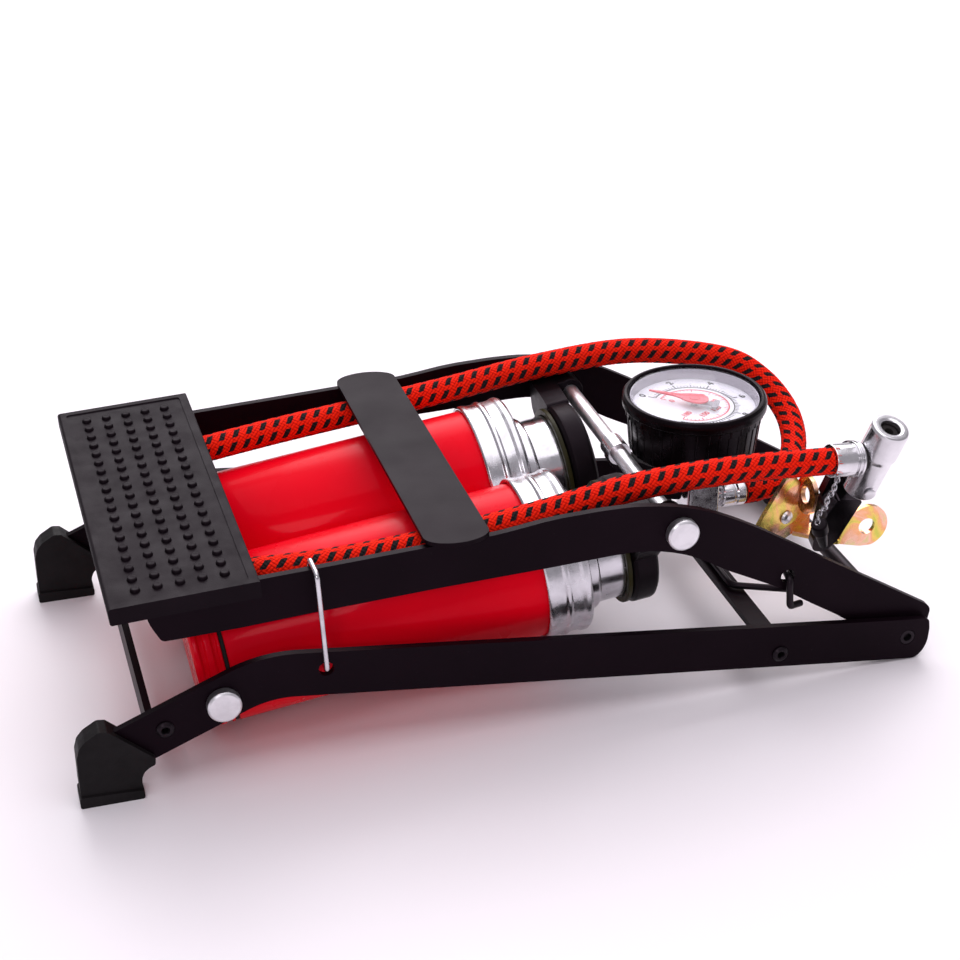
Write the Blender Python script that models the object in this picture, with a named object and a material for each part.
"""Twin-cylinder foot pump with a pressure gauge, folded flat and held shut by its wire latch.

Drawn in millimetres in a drawing frame: x runs from the rubber feet to the frame's front pivot,
y from the near side plate to the far one, z up from the floor. Everything is written in metres,
moved by DX, DY so that the origin is at the middle of the bottom of the bounding box.
"""

import math

import bmesh
import bpy
from mathutils import Matrix, Vector

for o in list(bpy.data.objects):
    bpy.data.objects.remove(o, do_unlink=True)

MM = 0.001
DX, DY, DZ = -154.9, 0.0, 0.0

# joint axes, drawing frame
PIVOT = (296.8, 0.0, 9.6)  # lever on the base frame
ROD = (48.0, 0.0, 30.4)  # cylinders on the lower rod
TUBE = (207.5, 0.0, 66.0)  # piston heads on the cross tube
LATCH = (82.7, -66.75, 36.5)

COL = bpy.context.scene.collection
MATS = {}


def material(key):
    table = {
        "black": ((0.025, 0.023, 0.027), 0.0, 0.42),
        "plastic": ((0.04, 0.036, 0.042), 0.0, 0.55),
        "rubber": ((0.018, 0.018, 0.02), 0.0, 0.8),
        "red": ((0.72, 0.01, 0.015), 0.0, 0.2),
        "steel": ((0.72, 0.72, 0.74), 1.0, 0.25),
        "zinc": ((0.78, 0.6, 0.25), 1.0, 0.3),
        "hose": ((0.8, 0.06, 0.02), 0.0, 0.7),
        "dial": ((0.9, 0.9, 0.92), 0.0, 0.5),
        "glass": ((0.9, 0.92, 0.95), 0.0, 0.05),
        "needle": ((0.8, 0.02, 0.08), 0.0, 0.4),
        "seal": ((0.45, 0.42, 0.1), 0.0, 0.6),
    }
    return table[key]


def give(obj, key):
    color, metal, rough = material(key)
    m = bpy.data.materials.new(obj.name + "_mat")
    m.use_nodes = True
    b = m.node_tree.nodes["Principled BSDF"]
    b.inputs["Base Color"].default_value = (*color, 1)
    b.inputs["Metallic"].default_value = metal
    b.inputs["Roughness"].default_value = rough
    obj.data.materials.clear()
    obj.data.materials.append(m)


def place(p):
    return Vector(((p[0] + DX) * MM, (p[1] + DY) * MM, (p[2] + DZ) * MM))


def mesh(name, verts, faces, key=None):
    """A closed mesh from drawing coordinates, its normals turned outward."""
    me = bpy.data.meshes.new(name)
    me.from_pydata([place(v) for v in verts], [], faces)
    bm = bmesh.new()
    bm.from_mesh(me)
    bmesh.ops.recalc_face_normals(bm, faces=bm.faces)
    if bm.calc_volume(signed=True) < 0:
        bmesh.ops.reverse_faces(bm, faces=bm.faces)
    bm.to_mesh(me)
    bm.free()
    o = bpy.data.objects.new(name, me)
    COL.objects.link(o)
    if key:
        give(o, key)
    return o


def prism(name, pts, direction, lo, hi, key=None):
    """Outline pts, extruded along y ('y'), x ('x') or z ('z') from lo to hi."""

    def p3(p, t):
        if direction == "y":
            return (p[0], t, p[1])
        if direction == "x":
            return (t, p[0], p[1])
        return (p[0], p[1], t)

    n = len(pts)
    verts = [p3(p, lo) for p in pts] + [p3(p, hi) for p in pts]
    faces = [list(range(n)), list(range(2 * n - 1, n - 1, -1))]
    faces += [(i, (i + 1) % n, n + (i + 1) % n, n + i) for i in range(n)]
    return mesh(name, verts, faces, key)


def box(name, lo, hi, key=None):
    return prism(
        name,
        [(lo[0], lo[1]), (hi[0], lo[1]), (hi[0], hi[1]), (lo[0], hi[1])],
        "z",
        lo[2],
        hi[2],
        key,
    )


def basis(axis, up=(0, 0, 1)):
    a = Vector(axis).normalized()
    u = Vector(up)
    u = u - a * u.dot(a)
    if u.length < 1e-6:
        u = Vector((1, 0, 0)) - a * a.x
    u.normalize()
    return a, u, a.cross(u)


def lathe(name, prof, centre, axis, key=None, n=24, up=(0, 0, 1), phase=0.0):
    """Turned solid: prof is (along, radius) from centre along axis. A profile that starts and ends on radius 0 is solid; any other is closed on itself, a ring."""
    a, u, v = basis(axis, up)
    c = Vector(centre)
    verts, rings = [], []
    for s, r in prof:
        if r <= 1e-9:
            rings.append([len(verts)])
            verts.append(c + a * s)
        else:
            ring = []
            for i in range(n):
                t = 2 * math.pi * (i + phase) / n
                ring.append(len(verts))
                verts.append(c + a * s + (u * math.cos(t) + v * math.sin(t)) * r)
            rings.append(ring)
    faces = []
    pairs = list(zip(rings, rings[1:]))
    if len(rings[0]) > 1:
        pairs.append((rings[-1], rings[0]))
    for p, q in pairs:
        if len(p) == 1 and len(q) == 1:
            continue
        for i in range(n):
            j = (i + 1) % n
            if len(p) == 1:
                faces.append((p[0], q[i], q[j]))
            elif len(q) == 1:
                faces.append((p[i], p[j], q[0]))
            else:
                faces.append((p[i], p[j], q[j], q[i]))
    return mesh(name, verts, faces, key)


def rod(name, p, q, r, key=None, n=20):
    p, q = Vector(p), Vector(q)
    d = (q - p).length
    return lathe(name, [(0, 0), (0, r), (d, r), (d, 0)], p, q - p, key, n)


def sweep(name, pts, r, key=None, n=8):
    """A round wire along pts, with flat ends."""
    pts = [Vector(p) for p in pts]
    tang = []
    for i in range(len(pts)):
        a = pts[max(i - 1, 0)]
        b = pts[min(i + 1, len(pts) - 1)]
        tang.append((b - a).normalized())
    up = Vector((0, 0, 1))
    if abs(tang[0].dot(up)) > 0.9:
        up = Vector((1, 0, 0))
    nrm = (up - tang[0] * up.dot(tang[0])).normalized()
    verts = []
    for i, p in enumerate(pts):
        if i:
            nrm = nrm - tang[i] * nrm.dot(tang[i])
            nrm.normalize()
        b = tang[i].cross(nrm)
        for k in range(n):
            t = 2 * math.pi * k / n
            verts.append(p + (nrm * math.cos(t) + b * math.sin(t)) * r)
    faces = [list(range(n)), list(range(len(verts) - 1, len(verts) - n - 1, -1))]
    for i in range(len(pts) - 1):
        for k in range(n):
            j = (k + 1) % n
            faces.append((i * n + k, i * n + j, (i + 1) * n + j, (i + 1) * n + k))
    return mesh(name, verts, faces, key)


def rounded(pts, radius, steps=4):
    """A polyline in space with its corners rounded; radius is one number or one for each inner corner."""
    pts = [Vector(p) for p in pts]
    out = [pts[0]]
    for i in range(1, len(pts) - 1):
        r = radius[i - 1] if isinstance(radius, (list, tuple)) else radius
        a = (pts[i - 1] - pts[i]).normalized()
        b = (pts[i + 1] - pts[i]).normalized()
        ang = a.angle(b)
        cut = r / math.tan(ang / 2)
        cut = min(
            cut, 0.48 * (pts[i - 1] - pts[i]).length, 0.48 * (pts[i + 1] - pts[i]).length
        )
        r2 = cut * math.tan(ang / 2)
        mid = (a + b).normalized()
        c = pts[i] + mid * (r2 / math.sin(ang / 2))
        s, e = pts[i] + a * cut - c, pts[i] + b * cut - c
        full = s.angle(e)
        ax = s.cross(e).normalized()
        for k in range(steps + 1):
            out.append(c + Matrix.Rotation(full * k / steps, 3, ax) @ s)
    out.append(pts[-1])
    return out


def combine(obj, others, op):
    """Exact union or difference, applied."""
    for other in others:
        m = obj.modifiers.new("b", "BOOLEAN")
        m.operation = op
        m.solver = "EXACT"
        m.object = other
    bpy.context.view_layer.update()
    dg = bpy.context.evaluated_depsgraph_get()
    me = bpy.data.meshes.new_from_object(obj.evaluated_get(dg))
    obj.modifiers.clear()
    old = obj.data
    mats = list(old.materials)
    obj.data = me
    me.materials.clear()
    for mt in mats:
        me.materials.append(mt)
    for poly in me.polygons:
        poly.material_index = 0
    for other in others:
        bpy.data.objects.remove(other, do_unlink=True)
    bm = bmesh.new()
    bm.from_mesh(me)
    bmesh.ops.remove_doubles(bm, verts=bm.verts, dist=2e-6)
    bmesh.ops.dissolve_degenerate(bm, edges=bm.edges, dist=2e-6)
    bm.to_mesh(me)
    bm.free()
    return obj


def cut(obj, *others):
    return combine(obj, others, "DIFFERENCE")


def join(obj, *others):
    return combine(obj, others, "UNION")


def drill(obj, x, z, r, y0, y1, n=16):
    return cut(obj, rod("c", (x, y0, z), (x, y1, z), r, n=n))


def disc_pts(cx, cz, r, a0, a1, n):
    return [
        (
            cx + r * math.cos(math.radians(a0 + (a1 - a0) * i / n)),
            cz + r * math.sin(math.radians(a0 + (a1 - a0) * i / n)),
        )
        for i in range(n + 1)
    ]


# ------------------------------------------------------------------ base frame
BEND = (62.6, 37.2)
ANG1, ANG2, RB, HW = math.radians(22.3), math.radians(-6.93), 40.0, 8.25
d1 = (math.cos(ANG1), math.sin(ANG1))
d2 = (math.cos(ANG2), math.sin(ANG2))
tl = RB * math.tan((ANG1 - ANG2) / 2)
bc = (
    BEND[0] - d1[0] * tl + d1[1] * RB,
    BEND[1] - d1[1] * tl - d1[0] * RB,
)


def line1(x, off):
    """Point at station x along the rear leg's centreline, off to its upper side."""
    t = (x - BEND[0]) / d1[0]
    return (BEND[0] + d1[0] * t - d1[1] * off, BEND[1] + d1[1] * t + d1[0] * off)


def line2(x, off):
    t = (x - BEND[0]) / d2[0]
    return (BEND[0] + d2[0] * t - d2[1] * off, BEND[1] + d2[1] * t + d2[0] * off)


top = [line1(6.0, HW)]
top += [
    (bc[0] + (RB + HW) * math.cos(t), bc[1] + (RB + HW) * math.sin(t))
    for t in [math.pi / 2 + ANG1 + (ANG2 - ANG1) * i / 6 for i in range(7)]
]
top += [line2(303.0, HW), (304.9, 15.4), (305.4, 12.0), (305.1, 6.5), (303.6, 3.0)]
bot = [(300.8, 0.15)]
bot += [
    (bc[0] + (RB - HW) * math.cos(t), bc[1] + (RB - HW) * math.sin(t))
    for t in [math.pi / 2 + ANG2 + (ANG1 - ANG2) * i / 6 for i in range(7)]
]
bot += [line1(6.0, -HW)]
PLATE = top + bot

R_REAR = (28.6, 23.5)
R_FRONT = (246.4, 12.0)
for side, name in ((-1, "near"), (1, "far")):
    ys = sorted((side * 65.5, side * 68.0))
    o = prism("side_plate_" + name, PLATE, "y", ys[0], ys[1], "black")
    cs = [
        rod("c", (x, ys[0] - 2, z), (x, ys[1] + 2, z), r, n=k)
        for x, z, r, k in (
            (R_REAR[0], R_REAR[1], 2.3, 12),
            (R_FRONT[0], R_FRONT[1], 2.3, 12),
            (ROD[0], ROD[2], 3.5, 16),
            (PIVOT[0], PIVOT[2], 3.05, 20),
        )
    ]
    if side < 0:
        cs.append(rod("c", (LATCH[0], -70, LATCH[2]), (LATCH[0], -63, LATCH[2]), 1.5, n=12))
    cut(o, *cs)

# rear tie bar: a strip on edge with its ends turned forward against the plates
rear = [
    (23.0, -65.4), (33.4, -65.4), (33.4, -63.0), (25.4, -63.0),
    (25.4, 63.0), (33.4, 63.0), (33.4, 65.4), (23.0, 65.4),
]
o = prism("rear_tie_bar", rear, "z", 18.0, 28.4, "black")
cut(
    o,
    rod("c", (R_REAR[0], -70, R_REAR[1]), (R_REAR[0], -60, R_REAR[1]), 2.3, n=12),
    rod("c", (R_REAR[0], 60, R_REAR[1]), (R_REAR[0], 70, R_REAR[1]), 2.3, n=12),
)
# front tie bar: a flat strip with its ends turned down
front = [
    (-65.4, 8.0), (-63.0, 8.0), (-63.0, 15.3), (63.0, 15.3),
    (63.0, 8.0), (65.4, 8.0), (65.4, 17.6), (-65.4, 17.6),
]
o = prism("front_tie_bar", front, "x", 240.2, 251.4, "black")
cut(
    o,
    rod("c", (R_FRONT[0], -70, R_FRONT[1]), (R_FRONT[0], -60, R_FRONT[1]), 2.3, n=12),
    rod("c", (R_FRONT[0], 60, R_FRONT[1]), (R_FRONT[0], 70, R_FRONT[1]), 2.3, n=12),
    # the strip is narrower between its ends
    prism("c", [(247.6, -60.0), (253.0, -60.0), (253.0, 60.0), (247.6, 60.0)], "z", 14.0, 19.0, "black"),
)
for (x, z), which, rh in ((R_REAR, "rear", 1.8), (R_FRONT, "front", 1.8)):
    for side, name in ((-1, "near"), (1, "far")):
        # tubular rivet: domed outer head with a sunk centre, flared inner head
        lathe(
            f"tie_rivet_{which}_{name}",
            [(0, 0), (0, 2.8), (0.8, 3.0), (0.8, 1.9), (5.95, 1.9), (5.95, 3.0), (6.7, 2.6),
             (7.2, 1.7), (7.2, 1.2), (6.2, 1.0), (6.2, 0)],
            (x, side * 62.1, z),
            (0, side, 0),
            "black",
            n=12,
        )

# feet: rubber boots pushed over the plates' rear ends, each with a flanged sole
BOOT = [
    (7.2, 28.0), (10.0, 27.6), (24.5, 14.4), (24.3, 12.0), (20.6, 10.2), (19.5, 7.4),
    (19.4, 3.4), (19.4, 0.0), (-0.4, 0.0), (-0.6, 8.0), (-0.6, 19.0), (0.4, 22.6), (2.6, 25.2),
]
for side, name in ((-1, "near"), (1, "far")):
    o = prism("foot_" + name, BOOT, "y", side * 66.75 - 3.75, side * 66.75 + 3.75, "rubber")
    sole = box("s", (-1.0, side * 66.75 - 4.6, 0.0), (20.0, side * 66.75 + 4.6, 3.2))
    join(o, sole)
    e = 0.3
    pocket = prism(
        "c",
        [
            line1(6.0 - e, HW + e), line1(40.0, HW + e), line1(40.0, -HW - e),
            line1(6.0 - e, -HW - e),
        ],
        "y",
        side * 66.75 - 1.25 - e,
        side * 66.75 + 1.25 + e,
    )
    cut(o, pocket)

# lower rod with a flat head outside each plate
lathe(
    "lower_rod",
    [(0, 0), (0, 5.3), (0.6, 5.7), (4.0, 5.7), (4.0, 3.2), (140.6, 3.2), (140.6, 5.7),
     (144.0, 5.7), (144.6, 5.3), (144.6, 0)],
    (ROD[0], -72.3, ROD[2]),
    (0, 1, 0),
    "steel",
    n=24,
)
# front axle, flush with the plates, its ends drilled
lathe(
    "front_axle",
    [(1.6, 0), (1.6, 1.4), (0.0, 1.4), (0, 3.0), (136.0, 3.0), (136.0, 1.4), (134.4, 1.4), (134.4, 0)],
    (PIVOT[0], -68.0, PIVOT[2]),
    (0, 1, 0),
    "black",
    n=20,
)
for side, name in ((-1, "near"), (1, "far")):
    lathe(
        "pivot_washer_" + name,
        [(0, 3.3), (0, 6.6), (0.7, 6.6), (0.7, 3.3)],
        (PIVOT[0], side * 64.5, PIVOT[2]),
        (0, side, 0),
        "steel",
        n=20,
    )

# torsion spring: one wire, coiled round the axle at both sides, its middle run lying on the front tie bar
WR, CR, PITCH, TURNS = 1.25, 5.1, 2.85, 4


def coil(side):
    """From the outer end, near the arm, to the inner end."""
    pts = []
    n = 10
    total = n * TURNS + n // 2
    for i in range(total + 1):
        t = -math.pi * 0.5 + 2 * math.pi * i / n
        y = side * (58.0 - PITCH * i / n)
        pts.append((PIVOT[0] + CR * math.cos(t), y, PIVOT[2] + CR * math.sin(t)))
    return pts


def spring_leg(side):
    return rounded(
        [
            (255.4, side * 62.6, 28.3),
            (249.4, side * 66.7, 30.4),
            (248.6, side * 66.7, 41.0),
            (250.0, side * 58.6, 41.6),
            (291.6, side * 58.4, PIVOT[2] - CR + 2.6),
        ],
        [1.6, 1.8, 1.8],
        3,
    )


near_leg = spring_leg(-1)
near_coil = coil(-1)
mid = rounded(
    [
        (291.0, -44.6, PIVOT[2] + CR + 0.6),
        (258.0, -37.5, 19.4),
        (243.2, -30.5, 19.3),
        (243.2, 30.5, 19.3),
        (258.0, 37.5, 19.4),
        (291.0, 44.6, PIVOT[2] + CR + 0.6),
    ],
    [6, 4, 4, 6],
    4,
)
far_coil = [Vector((p[0], -p[1], p[2])) for p in near_coil][::-1]
far_leg = [Vector((p.x, -p.y, p.z)) for p in near_leg][::-1]
sweep("torsion_spring", [Vector(p) for p in near_leg] + [Vector(p) for p in near_coil] + mid
      + far_coil + far_leg, WR, "black", n=6)

# zinc-plated bracket on the front tie bar: a strip that rises to an eye, and a second eye on a bent arm
F1 = Vector((272.5, -12.0, 33.4))
N1 = Vector((0.28, -0.96, 0.0)).normalized()
E1 = Vector((0.96, 0.28, 0.0)).normalized()


def on_plane(x, z, off):
    """A point of the strip's face at drawing x, z, off behind the face."""
    s = (x - F1.x) / E1.x
    return F1 + E1 * s + Vector((0, 0, z - F1.z)) - N1 * off


def plate_on(name, pts, t0, t1, key=None):
    n = len(pts)
    verts = [on_plane(x, z, t0) for x, z in pts] + [on_plane(x, z, t1) for x, z in pts]
    faces = [list(range(n)), list(range(2 * n - 1, n - 1, -1))]
    faces += [(i, (i + 1) % n, n + (i + 1) % n, n + i) for i in range(n)]
    return mesh(name, verts, faces, key)


strip = plate_on(
    "zinc_bracket",
    [
        (252.9, 18.1), (260.6, 18.1), (266.6, 27.0), (276.6, 30.2), (279.4, 33.2),
        (278.6, 40.0), (278.0, 46.5), (275.0, 50.8), (271.8, 50.4), (262.5, 37.6), (258.8, 32.0),
    ],
    0.0,
    1.8,
    "zinc",
)
foot = box("f", (251.9, -19.6, 17.9), (262.0, -5.0, 19.7))
EYE_N = Vector((-0.99, -0.02, 0.1)).normalized()
EYE_C = Vector((278.4, -14.6, 43.4))
ring = lathe("r", [(0, 3.3), (0, 7.4), (1.8, 7.4), (1.8, 3.3)], EYE_C, -EYE_N, n=20)
join(strip, ring)
bpy.data.objects.remove(foot, do_unlink=True)
cut(strip, rod("c", F1 + N1 * 4, F1 - N1 * 6, 1.9, n=12))

# the second arm: flat strip behind the first, bent up into an eye that faces the near side
arm_pts = [
    (262.5, 22.6), (268.0, 20.4), (279.0, 24.0), (286.0, 24.0), (286.0, 31.0), (280.0, 34.5),
    (272.5, 38.4), (268.2, 36.4), (265.8, 32.4),
]
arm = plate_on("zinc_eye_arm", arm_pts, 2.0, 3.8, "zinc")
# shelf that runs towards the near side, and the eye at its end
shelf = prism(
    "s",
    [(277.0, -9.0), (278.0, -6.9), (286.0, -4.7), (303.0, -15.5), (303.0, -20.4), (289.5, -20.4)],
    "z",
    23.2,
    25.0,
)
eye = prism(
    "e",
    disc_pts(302.2, 29.2, 8.6, -75, 160, 12) + [(291.4, 26.0), (291.4, 23.2), (300.0, 21.0)],
    "y",
    -20.4,
    -18.6,
)
join(arm, shelf, eye)
cut(
    arm,
    rod("c", (302.2, -26, 29.2), (302.2, -12, 29.2), 3.3, n=20),
    rod("c", F1 + N1 * 4, F1 - N1 * 8, 1.9, n=12),
)
lathe(
    "bracket_rivet",
    [(0, 0), (0, 2.6), (0.9, 2.3), (1.6, 1.2), (1.8, 0)],
    F1 + N1 * 0.1,
    N1,
    n=12,
).name = "bracket_rivet_head"
head = bpy.data.objects["bracket_rivet_head"]
shank = rod("c", F1 + N1 * 0.5, F1 - N1 * 4.1, 1.6, n=12)
tail = lathe("t", [(0, 0), (0, 2.6), (1.0, 2.2), (1.0, 0)], F1 - N1 * 4.0, -N1, n=12)
join(head, shank, tail)
head.name = "bracket_rivet"
give(head, "steel")

# wire latch: from its hole in the near plate, up outside the arm and over the arm's top edge
sweep(
    "storage_latch",
    rounded(
        [
            (82.7, -63.4, 36.5),
            (82.7, -69.3, 36.5),
            (80.6, -69.3, 73.4),
            (80.2, -60.4, 74.4),
            (80.2, -59.6, 71.0),
        ],
        [1.6, 2.2, 1.2],
        4,
    ),
    0.9,
    "steel",
    n=8,
)

# ------------------------------------------------------------------ lever
ARM = [
    (26.4, 62.4), (30.4, 54.4), (33.0, 54.3), (55.8, 55.0), (83.2, 56.6), (122.7, 58.4), (159.9, 59.6),
    (183.0, 60.6), (193.0, 60.7), (201.1, 59.3), (209.0, 57.0), (216.5, 53.4), (224.5, 48.2),
    (246.0, 37.2), (258.2, 29.0), (274.3, 18.8), (285.0, 8.4), (290.0, 3.4), (296.8, 1.6),
    (302.4, 3.6), (305.6, 8.8), (307.0, 17.6), (305.8, 19.6), (283.5, 33.4), (262.9, 46.0),
    (237.4, 62.0), (228.0, 67.2), (219.0, 71.6), (209.4, 75.0), (201.0, 76.8), (190.0, 78.3),
    (178.2, 78.5), (161.7, 77.9), (150.0, 76.3), (140.3, 75.1), (117.8, 74.4), (60.9, 71.8),
    (29.0, 70.4), (26.0, 69.0),
]
for side, name in ((-1, "near"), (1, "far")):
    ys = sorted((side * 61.7, side * 64.2))
    o = prism("lever_arm_" + name, ARM, "y", ys[0], ys[1], "black")
    cut(
        o,
        rod("c", (PIVOT[0], ys[0] - 2, PIVOT[2]), (PIVOT[0], ys[1] + 2, PIVOT[2]), 3.05, n=20),
        rod("c", (TUBE[0], ys[0] - 2, TUBE[2]), (TUBE[0], ys[1] + 2, TUBE[2]), 3.4, n=16),
        rod("c", (249.0, ys[0] - 2, 41.3), (249.0, ys[1] + 2, 41.3), 2.6, n=12),
    )

# strap across the two arms
strap = []
for s in (1, -1):
    strap += [
        (117.8 if s > 0 else 140.2, -62.5 * s),
        (119.4 if s > 0 else 138.6, -65.6 * s),
        (124.0 if s > 0 else 134.0, -67.6 * s),
        (129.0, -68.2 * s),
    ]
    if s > 0:
        strap += [(134.0, -67.6), (138.6, -65.6), (140.2, -62.5)]
    else:
        strap += [(124.0, 67.6), (119.4, 65.6), (117.8, 62.5)]
seen = []
for p in strap:
    if p not in seen:
        seen.append(p)
prism("cross_strap", seen, "z", 75.4, 76.9, "black")

# pedal: a moulded cap over the arms' ends, with rows of round studs
TILT = math.radians(2.6)


def ped(x, z):
    """Pedal section point: x along the pedal from its rear edge, z up from the arms' top line."""
    return (
        12.4 + x * math.cos(TILT) - z * math.sin(TILT),
        69.95 + x * math.sin(TILT) + z * math.cos(TILT),
    )


YO = 71.8
outer = [ped(1.6, -2.4), ped(49.8, -2.4), ped(49.8, 3.6), ped(2.4, 3.6), ped(1.6, 2.8)]
o = prism("pedal", outer, "y", -YO, YO, "plastic")
inner = [ped(3.8, -7.5), ped(47.8, -7.5), ped(47.8, 0.9), ped(3.8, 0.9)]
c1 = prism("c", inner, "y", -YO + 2.4, YO - 2.4)
# the arms and the hose pass under its front skirt
c2 = prism("c", [ped(45.0, -7.5), ped(52.0, -7.5), ped(52.0, 0.9), ped(45.0, 0.9)], "y", -YO + 2.4, YO - 2.4)
# shallow tray inside the raised rim
c3 = prism("c", [ped(4.8, 3.1), ped(46.4, 3.1), ped(46.4, 5.0), ped(4.8, 5.0)], "y", -YO + 2.6, YO - 2.6)
cut(o, c1, c2, c3)
studs_v, studs_f = [], []
for col in range(5):
    for row in range(19):
        cx = 11.4 + col * 7.16
        cy = -62.46 + row * 6.94
        b = len(studs_v)
        for zz, rr in ((2.5, 1.7), (3.9, 1.25)):
            for k in range(6):
                t = 2 * math.pi * k / 6
                x, z = ped(cx + rr * math.cos(t), zz)
                studs_v.append((x, cy + rr * 1.1 * math.sin(t), z))
        studs_f.append([b + k for k in range(6)])
        studs_f.append([b + 6 + k for k in range(6)][::-1])
        for k in range(6):
            j = (k + 1) % 6
            studs_f.append((b + k, b + j, b + 6 + j, b + 6 + k))
join(o, mesh("s", studs_v, studs_f))

# cross tube with flat heads outside the arms
lathe(
    "cross_tube",
    [(0, 0), (0, 5.3), (0.6, 5.7), (3.9, 5.7), (3.9, 3.0), (132.5, 3.0), (132.5, 5.7), (135.8, 5.7),
     (136.4, 5.3), (136.4, 0)],
    (TUBE[0], -68.2, TUBE[2]),
    (0, 1, 0),
    "steel",
    n=24,
)
# manifold: a sleeve clamped on the cross tube between the piston heads, with an arm down to the gauge block
man = lathe("manifold_arm", [(0, 3.06), (0, 4.3), (9.0, 4.3), (9.0, 3.06)],
            (TUBE[0], -4.5, TUBE[2]), (0, 1, 0), "black", n=20)
web = prism(
    "w",
    [(204.8, 62.9), (210.4, 62.8), (215.0, 61.6), (222.0, 58.0), (229.0, 54.0), (232.6, 53.0), (232.6, 43.2),
     (226.0, 44.6), (217.0, 49.6), (208.4, 58.0), (205.0, 60.6)],
    "y",
    -4.5,
    4.5,
)
join(man, web)
# gauge block, with a stem up to the gauge and a sleeve for the hose
box("gauge_block", (232.9, -11.0, 37.6), (245.4, 1.6, 53.0), "steel")
GX, GY = 235.9, -4.0
G0 = 64.1
lathe(
    "gauge_stem",
    [(0, 0), (0, 3.4), (2.6, 3.4), (2.6, 5.6), (7.6, 5.6), (7.6, 4.0), (10.5, 4.0), (10.5, 0)],
    (GX, GY, 53.3),
    (0, 0, 1),
    "steel",
    n=12,
)
lathe(
    "gauge_case",
    [(0, 0), (0, 22.3), (1.2, 23.4), (17.6, 25.1), (17.6, 23.1), (16.6, 23.1), (16.6, 0)],
    (GX, GY, G0),
    (0, 0, 1),
    "plastic",
    n=40,
)
lathe(
    "gauge_bezel",
    [(0, 23.8), (0, 26.4), (3.6, 26.4), (4.6, 25.8), (4.6, 24.4), (2.4, 23.8)],
    (GX, GY, G0 + 17.9),
    (0, 0, 1),
    "plastic",
    n=40,
)
lathe("gauge_lens", [(0, 0), (0, 23.5), (1.0, 23.5), (1.0, 0)], (GX, GY, G0 + 21.0), (0, 0, 1), "glass", n=40)
dial = lathe("gauge_dial", [(0, 0), (0, 22.7), (0.8, 22.7), (0.8, 0)], (GX, GY, G0 + 16.8), (0, 0, 1), "dial", n=40)
cut(dial, rod("c", (GX, GY, G0 + 16), (GX, GY, G0 + 19), 1.4, n=12))
rod("gauge_spindle", (GX, GY, G0 + 16.8), (GX, GY, G0 + 20.8), 0.9, "steel", n=12)
# pointer: a tapered blade with a round boss and a short tail
ND = math.radians(140.0)


def npt(a, b, z):
    return (
        GX + a * math.cos(ND) - b * math.sin(ND),
        GY + a * math.sin(ND) + b * math.cos(ND),
        G0 + z,
    )


blade = [(17.4, 0.25), (5.6, 1.3), (2.2, 3.4), (-1.5, 3.9), (-4.9, 2.4), (-5.6, 0.0), (-4.9, -2.4),
         (-1.5, -3.9), (2.2, -3.4), (5.6, -1.3), (17.4, -0.25)]
nv = [npt(a, b, 20.0) for a, b in blade] + [npt(a, b, 20.6) for a, b in blade]
k = len(blade)
nf = [list(range(k)), list(range(2 * k - 1, k - 1, -1))] + [
    (i, (i + 1) % k, k + (i + 1) % k, k + i) for i in range(k)
]
needle = mesh("gauge_needle", nv, nf, "needle")
cut(needle, rod("c", (GX, GY, G0 + 19.5), (GX, GY, G0 + 21.0), 1.2, n=12))

# hose sleeve, hose, ferrule and chuck
SLD = Vector((0.995, 0.07, -0.06)).normalized()
lathe(
    "hose_sleeve",
    [(0, 0), (0, 3.0), (1.6, 3.0), (1.6, 4.3), (11.4, 4.5), (11.4, 0)],
    (245.8, -4.9, 43.6),
    SLD,
    "steel",
    n=12,
)
# the hose's route: out of its sleeve, round to the far side, back under the strap, round under the pedal,
# forward along the near side and up to its ferrule
ROUTE = [
    (262.0, -3.8, 42.65), (274.8, 0.7, 42.9), (286.4, 14.2, 47.2), (290.6, 30.5, 54.5), (284.8, 45.1, 63.8),
    (270.0, 52.7, 71.5), (233.8, 56.2, 77.6), (196.7, 56.3, 76.1), (159.9, 55.0, 71.8), (123.0, 52.1, 68.7),
    (86.2, 47.6, 66.7), (49.9, 40.3, 65.1), (33.4, 31.9, 64.6), (23.3, 16.7, 64.2), (21.0, -1.6, 64.0),
    (24.4, -19.8, 64.2), (34.1, -35.4, 64.7), (49.6, -45.5, 65.4), (85.8, -52.3, 67.2), (122.9, -51.4, 68.5),
    (159.7, -49.8, 71.9), (196.5, -49.4, 77.3), (233.5, -48.3, 77.7), (270.4, -45.9, 74.4),
]
HOSE_D = 9.6


def spline(pts, per):
    """Catmull-Rom through pts."""
    v = [Vector(p) for p in pts]
    v = [v[0] * 2 - v[1]] + v + [v[-1] * 2 - v[-2]]
    out = []
    for i in range(1, len(v) - 2):
        for j in range(per):
            t = j / per
            a, b, c, d = v[i - 1], v[i], v[i + 1], v[i + 2]
            out.append(
                0.5 * ((2 * b) + (c - a) * t + (2 * a - 5 * b + 4 * c - d) * t * t
                       + (3 * b - a - 3 * c + d) * t ** 3)
            )
    out.append(v[-2])
    return out


def walk(pts, step):
    """Points about step apart along pts, both ends kept."""
    total = sum((b - a).length for a, b in zip(pts, pts[1:]))
    n = max(1, round(total / step))
    out, run, k = [pts[0]], 0.0, 1
    for a, b in zip(pts, pts[1:]):
        d = (b - a).length
        while k < n and run + d >= total * k / n:
            out.append(a.lerp(b, (total * k / n - run) / d))
            k += 1
        run += d
    out.append(pts[-1])
    return out


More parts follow.
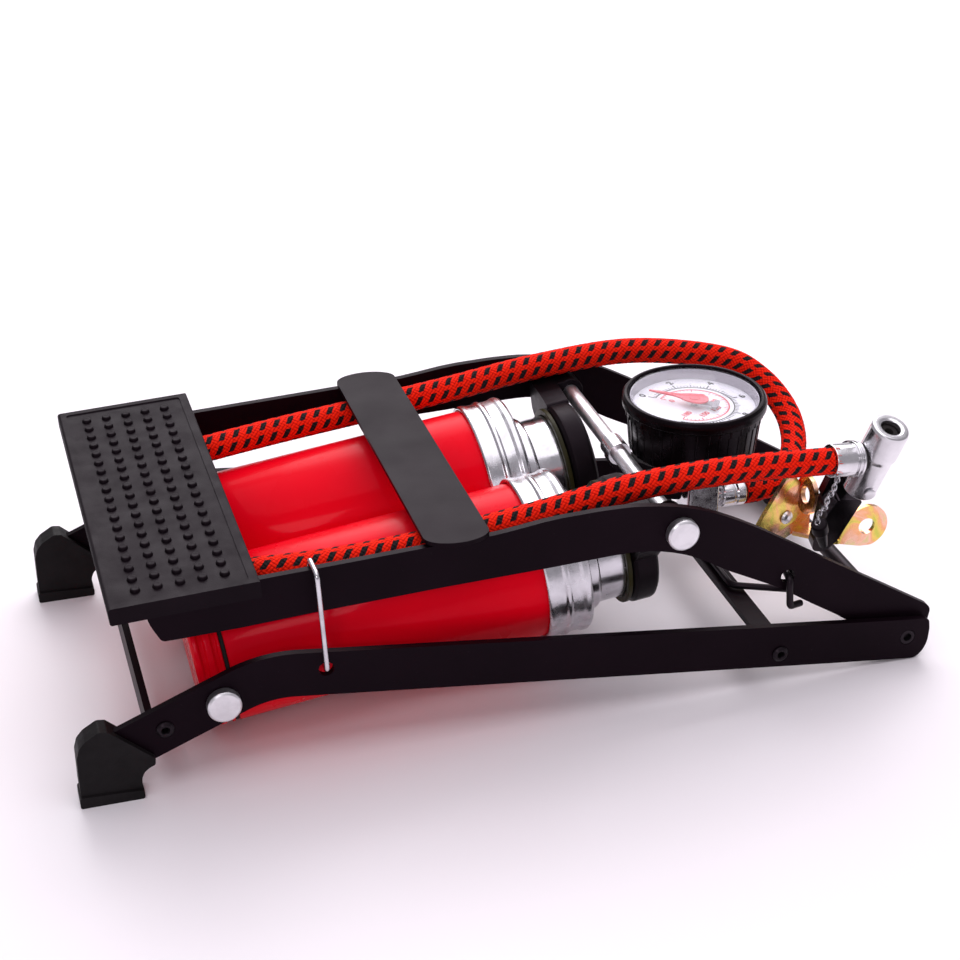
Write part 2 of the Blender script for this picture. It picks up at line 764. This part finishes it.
HOSE = [Vector((257.6, -4.1, 42.9))] + walk(spline(ROUTE, 12), 17.5)
print("HOSE points", len(HOSE), "length", round(sum((b - a).length for a, b in zip(HOSE, HOSE[1:])), 1))
cu = bpy.data.curves.new("hose", "CURVE")
cu.dimensions = "3D"
sp = cu.splines.new("POLY")
pts = HOSE
sp.points.add(len(pts) - 1)
for q, p in zip(sp.points, pts):
    w = place(p)
    q.co = (w.x, w.y, w.z, 1)
cu.bevel_depth = HOSE_D / 2 * MM
cu.bevel_resolution = 3
cu.resolution_u = 1
cu.render_resolution_u = 0
cu.use_fill_caps = True
ho = bpy.data.objects.new("hose", cu)
COL.objects.link(ho)
give(ho, "hose")

FD = (Vector(HOSE[-1]) - Vector(HOSE[-2])).normalized()
FS = Vector(HOSE[-1]) + FD * 0.3
lathe(
    "hose_ferrule",
    [(0, 0), (0, 6.0), (8.4, 6.0), (8.6, 6.6), (9.6, 6.6), (9.8, 5.9), (10.6, 5.9), (10.8, 6.4),
     (11.6, 6.4), (11.6, 0)],
    FS,
    FD,
    "steel",
    n=20,
)
# chuck: a short turned body, open at the top, slotted by the lever's rivet near the bottom
CA = Vector((0.152, -0.326, 0.933)).normalized()
CC = FS + FD * (11.9 + 6.9)  # middle of the chuck's axis at the ferrule's height
CB = CC - CA * 16.5  # bottom centre
CV = Vector((0, -1, 0)) - CA * Vector((0, -1, 0)).dot(CA)
CV.normalize()  # towards the near side, square to the axis
CU = CA.cross(CV) * -1  # to the right
if CU.x < 0:
    CU = -CU
body = lathe(
    "chuck_body",
    [(0, 0), (0, 6.1), (17.0, 6.3), (19.0, 6.9), (30.4, 6.9), (31.6, 6.3), (31.6, 3.6), (14.0, 3.6), (14.0, 0)],
    CB,
    CA,
    "steel",
    n=24,
)
flat = lathe("c", [(0, 0), (0, 6.9), (8.0, 6.9), (8.0, 0)], FS + FD * 11.85 - FD * 0.0, FD, n=16)
bpy.data.objects.remove(flat, do_unlink=True)
PIN = CB + CA * 4.2
cut(body, rod("c", PIN + CV * 9, PIN - CV * 9, 1.85, n=12))
# the rivet the lever turns on
lathe(
    "chuck_rivet",
    [(0, 0), (0, 2.2), (0.9, 2.4), (0.9, 1.55), (18.2, 1.55), (18.2, 2.4), (19.1, 2.2), (19.1, 0)],
    PIN - CV * 11.6,
    CV,
    "steel",
    n=12,
)


def chuck_pt(u, v, s):
    return CB + CU * u + CV * v + CA * s


# a blade behind the body, turned forward below it into the thumb piece
lev = [(-8.2, -11.4), (1.4, -11.4), (1.9, 2.0), (2.9, 4.2), (1.4, 8.0), (-0.6, 9.5), (-1.2, 12.5), (-3.4, 14.4), (-8.2, 14.4)]
n = len(lev)
lv = [chuck_pt(u, -6.95, s) for u, s in lev] + [chuck_pt(u, -10.5, s) for u, s in lev]
lf = [list(range(n)), list(range(2 * n - 1, n - 1, -1))] + [
    (i, (i + 1) % n, n + (i + 1) % n, n + i) for i in range(n)
]
lever = mesh("chuck_lever", lv, lf, "plastic")
thumb = [(-7.9, -9.8), (-8.4, -26.0), (-6.6, -32.0), (-1.0, -32.0), (1.0, -26.0), (1.4, -9.8)]
n = len(thumb)
tv = [chuck_pt(u, 1.2, s) for u, s in thumb] + [chuck_pt(u, -10.3 if s > -12 else -3.2, s) for u, s in thumb]
tf = [list(range(n)), list(range(2 * n - 1, n - 1, -1))] + [
    (i, (i + 1) % n, n + (i + 1) % n, n + i) for i in range(n)
]
join(lever, mesh("t", tv, tf))
cut(lever, rod("c", PIN - CV * 4, PIN - CV * 14, 1.65, n=12))

# chain from the ferrule to the spare nozzles
sweep(
    "nozzle_chain",
    [FS + Vector(d) for d in ((4.0, -0.6, -7.4), (3.2, 0.4, -9.8), (2.4, -0.2, -12.6), (1.0, 0.8, -15.4),
                              (0.4, 0.2, -18.4), (-1.4, 1.2, -21.2), (-2.2, 0.8, -23.6))],
    0.9,
    "steel",
    n=6,
)
lathe(
    "nozzle_cone",
    [(0, 0), (0, 3.0), (5.0, 3.0), (5.0, 2.4), (7.0, 2.2), (14.0, 1.4), (14.0, 0)],
    FS + Vector((-0.6, 2.6, -26.6)),
    (0.35, 0.3, -0.89),
    "plastic",
    n=12,
)

# ------------------------------------------------------------------ cylinders and pistons
AL = math.radians(7.3)
AX = Vector((math.cos(AL), 0, math.sin(AL)))
NX = Vector((-math.sin(AL), 0, math.cos(AL)))
for side, name in ((-1, "near"), (1, "far")):
    yc = side * 30.2
    A0 = Vector((48.0, yc, 28.9))  # on the cylinder's axis, below the rod's centre
    B0 = Vector((48.0, yc, 27.0))  # on the piston's axis
    # ribbed end plug that the lower rod passes through
    o = lathe(
        "cylinder_cap_" + name,
        [(-5.6, 0), (-5.6, 26.4), (-4.6, 27.8), (-3.2, 27.8), (-2.6, 26.6), (-1.4, 26.6), (-0.8, 27.8),
         (1.0, 27.8), (1.6, 26.6), (2.6, 26.6), (3.2, 27.8), (4.0, 27.8), (4.0, 26.0), (12.0, 26.0), (12.0, 0)],
        A0, AX, "red", n=32,
    )
    drill(o, ROD[0], ROD[2], 3.26, yc - 40, yc + 40, n=24)
    lathe("cylinder_seal_" + name, [(0, 26.3), (0, 27.2), (1.2, 27.2), (1.2, 26.3)], A0 + AX * 4.2, AX, "rubber", n=32)
    lathe(
        "cylinder_tube_" + name,
        [(0, 26.3), (0, 27.6), (112.0, 27.6), (112.0, 26.3)],
        A0 + AX * 5.6, AX, "red", n=32,
    )
    # chromed collar rolled over the tube's mouth
    lathe(
        "cylinder_collar_" + name,
        [(0, 27.9), (0, 29.0), (1.4, 29.4), (4.6, 28.9), (6.4, 28.9), (7.6, 29.5), (8.8, 28.9), (12.6, 28.9),
         (14.0, 29.4), (15.6, 29.2), (16.6, 28.2), (17.0, 24.4), (17.0, 22.8), (13.4, 22.8), (4.2, 26.0), (2.6, 27.9)],
        A0 + AX * 115.4, AX, "steel", n=32,
    )
    # inner tube with its stepped shoulder ring
    lathe(
        "piston_tube_" + name,
        [(0, 18.6), (0, 19.9), (112.4, 19.9), (112.4, 18.6)],
        B0 + AX * 36.0, AX, "steel", n=32,
    )
    lathe(
        "piston_shoulder_" + name,
        [(0, 20.2), (0, 21.6), (3.6, 21.6), (4.4, 20.9), (4.4, 20.2)],
        B0 + AX * 132.9, AX, "steel", n=32,
    )
    # piston head inside the tube
    lathe(
        "piston_head_" + name,
        [(0, 0), (0, 23.6), (7.0, 23.6), (7.0, 18.2), (12.0, 18.2), (12.0, 0)],
        B0 + AX * 28.7, AX, "plastic", n=32,
    )
    lathe(
        "piston_washer_" + name,
        [(0, 20.2), (0, 22.4), (1.6, 22.4), (1.6, 20.2)],
        B0 + AX * 146.9, AX, "seal", n=32,
    )
    # black head: a disc with an ear on its outer side, and the ear's boss round the cross tube
    hd = lathe(
        "piston_cap_" + name,
        [(0.0, 0), (0.0, 21.0), (1.6, 23.0), (8.2, 23.0), (9.6, 21.6), (9.6, 0)],
        B0 + AX * 148.9, AX, "plastic", n=32,
    )

    def across(name, pts, s0, s1):
        """Flat outline square to the piston's axis, from station s0 to s1; points are (y, height off the axis)."""
        k = len(pts)
        o0 = Vector((B0.x, 0, B0.z))
        vs = [o0 + AX * s0 + NX * h + Vector((0, side * y, 0)) for y, h in pts]
        vs += [o0 + AX * s1 + NX * h + Vector((0, side * y, 0)) for y, h in pts]
        fs = [list(range(k)), list(range(2 * k - 1, k - 1, -1))]
        fs += [(i, (i + 1) % k, k + (i + 1) % k, k + i) for i in range(k)]
        return mesh(name, vs, fs)

    ear = across("e", [(36.0, 14.0), (37.0, 22.4), (46.0, 23.6), (57.5, 23.6), (59.5, 21.6), (59.5, 11.0),
                       (57.0, 8.0), (50.0, 1.0), (42.0, 4.0)], 149.4, 158.0)
    neck = across("k", [(50.8, 13.4), (50.8, 23.2), (59.3, 23.2), (59.3, 13.4)], 153.0, 163.2)
    boss = rod("b", (TUBE[0], side * 50.7, TUBE[2]), (TUBE[0], side * 59.4, TUBE[2]), 5.2, n=24)
    join(hd, ear, neck, boss)
    cut(hd, rod("c", (TUBE[0], yc - 30, TUBE[2]), (TUBE[0], yc + 30, TUBE[2]), 3.06, n=24))

# ------------------------------------------------------------------ origins on the joint axes
ORIGIN = {}
for o in bpy.data.objects:
    nm = o.name
    p = None
    if nm.startswith(("cylinder_",)):
        p = ROD
    elif nm.startswith("piston_"):
        p = TUBE
    elif nm == "gauge_needle":
        p = (GX, GY, G0 + 20.3)
    elif nm == "storage_latch":
        p = LATCH
    elif nm == "chuck_lever":
        p = tuple(PIN)
    elif nm.startswith(("lever_", "cross_", "pedal", "manifold", "gauge", "hose", "chuck", "nozzle")):
        p = PIVOT
    if p is None or o.type != "MESH":
        continue
    w = place(p)
    o.data.transform(Matrix.Translation(-w))
    o.location = w

print("PIN", tuple(round(c, 5) for c in place(PIN)), "CV", tuple(round(c, 5) for c in CV))
print("FS", tuple(round(c, 5) for c in place(FS)), "FD", tuple(round(c, 5) for c in FD))
